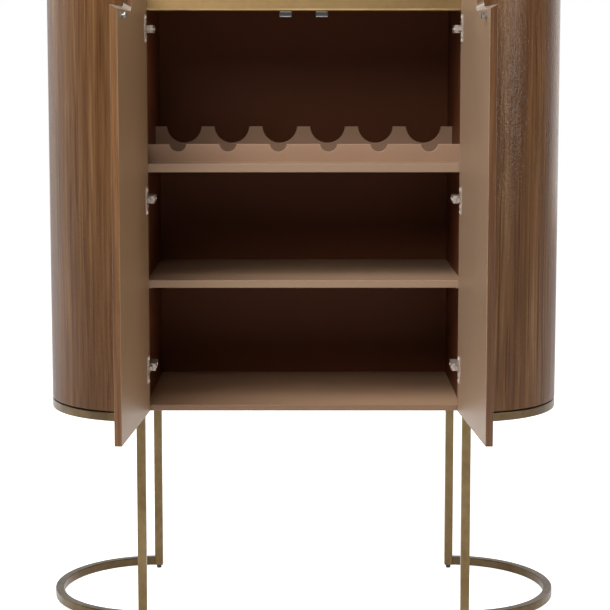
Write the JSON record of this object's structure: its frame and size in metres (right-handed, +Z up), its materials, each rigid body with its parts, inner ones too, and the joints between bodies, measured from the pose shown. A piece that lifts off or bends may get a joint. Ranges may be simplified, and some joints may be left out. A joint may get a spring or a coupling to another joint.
{
  "type": "bar cabinet",
  "caption": "Stadium-plan walnut bar cabinet on two open brass end frames, with hinged doors, shelves and a bottle rack.",
  "frame": {"origin": "on the floor, under the middle of the cabinet body: midway between the two half-round ends and midway from the front plane to the back, the open doors left out", "axes": "+X to the right as seen from the front, +Y from the front to the back, +Z up"},
  "size_m": [1.2098, 0.8151, 1.5],
  "materials": {
    "walnut": "satin walnut veneer",
    "brown_lacquer": "satin brown lacquer",
    "bare_board": "unfinished board",
    "brass": "brushed antique brass",
    "black_steel": "black powder coat",
    "bright_steel": "nickel plated",
    "black_plastic": "matte"
  },
  "bodies": {
    "cabinet": {"back_panel": "walnut", "bottle_rail": "brown_lacquer", "bottom_panel": "brown_lacquer", "brass_fascia": "brass", "ceiling_panel": "brown_lacquer", "fascia_rail": "bare_board", "inner_back_panel": "brown_lacquer", "left_base_plate": "black_steel", "left_catch": "black_plastic", "left_catch_poles": "bright_steel", "left_end_board": "bare_board", "left_end_formers": "bare_board", "left_end_shell": "walnut", "left_floor_ring": "brass", "left_frame_screws": "bright_steel", "left_front_leg": "brass", "left_glides": "black_plastic", "left_hinge_arm_lower": "bright_steel", "left_hinge_arm_middle": "bright_steel", "left_hinge_arm_upper": "bright_steel", "left_hinge_plates": "bright_steel", "left_rear_leg": "brass", "left_side_panel": "brown_lacquer", "left_upper_ring": "brass", "middle_shelf": "brown_lacquer", "neck_rail": "brown_lacquer", "right_base_plate": "black_steel", "right_catch": "black_plastic", "right_catch_poles": "bright_steel", "right_end_board": "bare_board", "right_end_formers": "bare_board", "right_end_shell": "walnut", "right_floor_ring": "brass", "right_frame_screws": "bright_steel", "right_front_leg": "brass", "right_glides": "black_plastic", "right_hinge_arm_lower": "bright_steel", "right_hinge_arm_middle": "bright_steel", "right_hinge_arm_upper": "bright_steel", "right_hinge_plates": "bright_steel", "right_rear_leg": "brass", "right_side_panel": "brown_lacquer", "right_upper_ring": "brass", "shelf_pins": "bright_steel", "top_board": "walnut", "wine_shelf": "brown_lacquer"},
    "left_door": {"left_door_panel": "walnut", "left_hinge_cup_lower": "bright_steel", "left_hinge_cup_middle": "bright_steel", "left_hinge_cup_upper": "bright_steel", "left_hinge_pins": "bright_steel", "left_strike": "bright_steel"},
    "right_door": {"right_door_panel": "walnut", "right_hinge_cup_lower": "bright_steel", "right_hinge_cup_middle": "bright_steel", "right_hinge_cup_upper": "bright_steel", "right_hinge_pins": "bright_steel", "right_strike": "bright_steel"}
  },
  "joints": [
    {"name": "left_door_hinge", "type": "hinge", "parent": "cabinet", "child": "left_door", "pos_m": [-0.3608, -0.224, 0.9855], "axis": [0, 0, 1], "range_deg": [0, 94]},
    {"name": "right_door_hinge", "type": "hinge", "parent": "cabinet", "child": "right_door", "pos_m": [0.3608, -0.224, 0.9855], "axis": [0, 0, 1], "range_deg": [-94, 0]}
  ]
}
